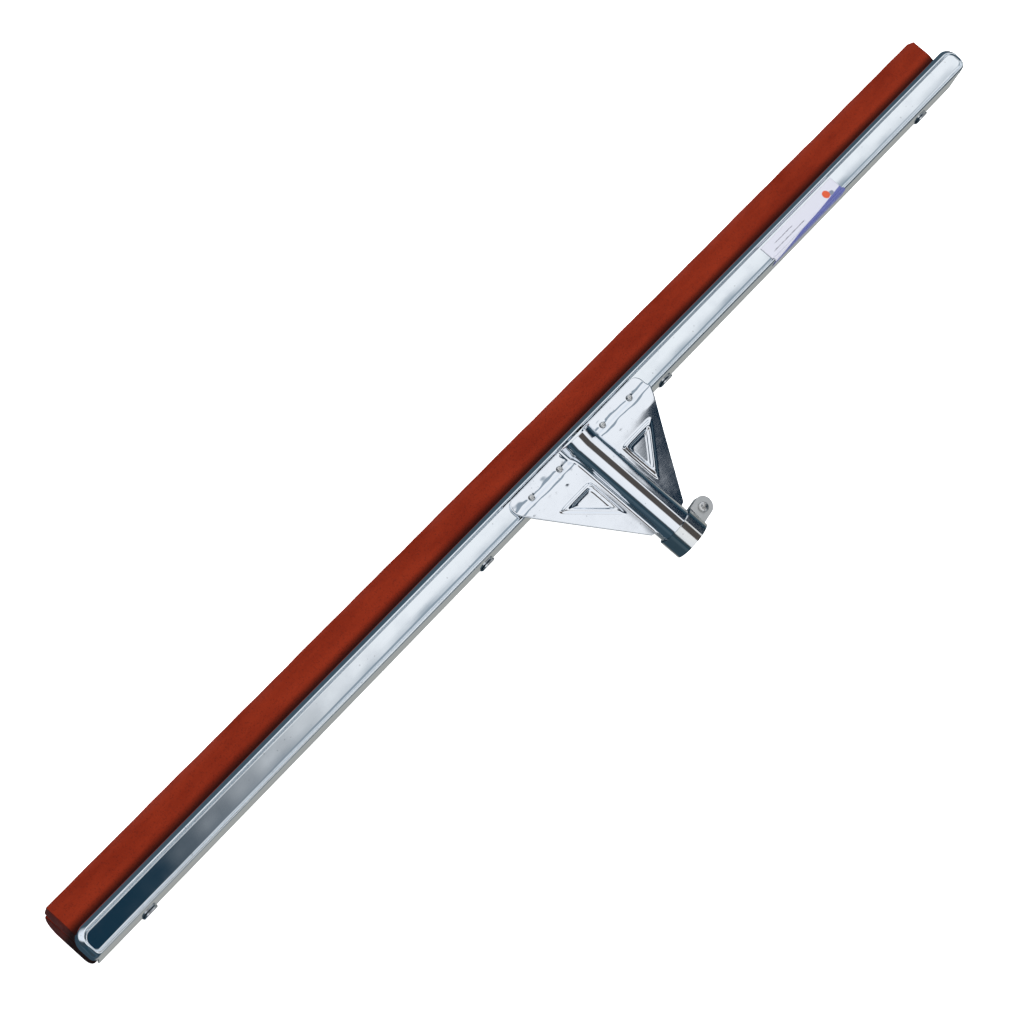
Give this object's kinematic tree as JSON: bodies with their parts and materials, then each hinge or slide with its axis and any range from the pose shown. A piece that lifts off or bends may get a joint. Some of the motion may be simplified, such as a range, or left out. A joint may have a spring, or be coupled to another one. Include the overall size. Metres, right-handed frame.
{
  "type": "window cleaning squeegee",
  "caption": "Wide window and floor squeegee: foam rubber blade in a pressed metal frame, with a riveted angled socket and a clamp band for a pole.",
  "frame": {"origin": "centre of the bounding box at the underside of the back strip, where the tool lies on a table", "axes": "+X along the blade, +Y towards the wiping lips, +Z out of the front"},
  "size_m": [0.918, 0.1314, 0.0492],
  "materials": {
    "foam_rubber": "matt cellular foam rubber, red brown",
    "plated_sheet": "bright plated pressed sheet, faintly wavy",
    "zinc_steel": "zinc plated steel, satin",
    "label_paper": "smooth printed paper"
  },
  "bodies": {
    "frame": {"front_blade": "foam_rubber", "back_blade": "foam_rubber", "front_shell": "plated_sheet", "bracket_front_plate": "plated_sheet", "bracket_back_plate": "plated_sheet", "blade_spacer": "zinc_steel", "back_strip": "zinc_steel", "flange_rivet_1": "zinc_steel", "flange_rivet_2": "zinc_steel", "flange_rivet_3": "zinc_steel", "flange_rivet_4": "zinc_steel", "frame_clip_1": "zinc_steel", "frame_clip_2": "zinc_steel", "frame_clip_3": "zinc_steel", "frame_clip_4": "zinc_steel", "label": "label_paper"},
    "clamp": {"clamp_band": "plated_sheet", "clamp_washer": "zinc_steel"},
    "screw": {"clamp_screw": "zinc_steel"},
    "nut": {"clamp_nut": "zinc_steel"}
  },
  "joints": [
    {"name": "clamp_turn", "type": "hinge", "parent": "frame", "child": "clamp", "pos_m": [0.01141, -0.05497, 0.01562], "axis": [-0.1305, 0.966, 0.223], "continuous": true},
    {"name": "nut_travel", "type": "slide", "parent": "clamp", "child": "nut", "axis": [0, 0.225, -0.9744], "range_m": [0, 0.0021]},
    {"name": "screw_turn", "type": "hinge", "parent": "clamp", "child": "screw", "pos_m": [0.03382, -0.05209, 0.01629], "axis": [0, -0.225, 0.9744], "range_deg": [0, 1085]}
  ],
  "couplings": [
    {"joint": "screw_turn", "follows": "nut_travel", "rad_per_m": 8976}
  ]
}
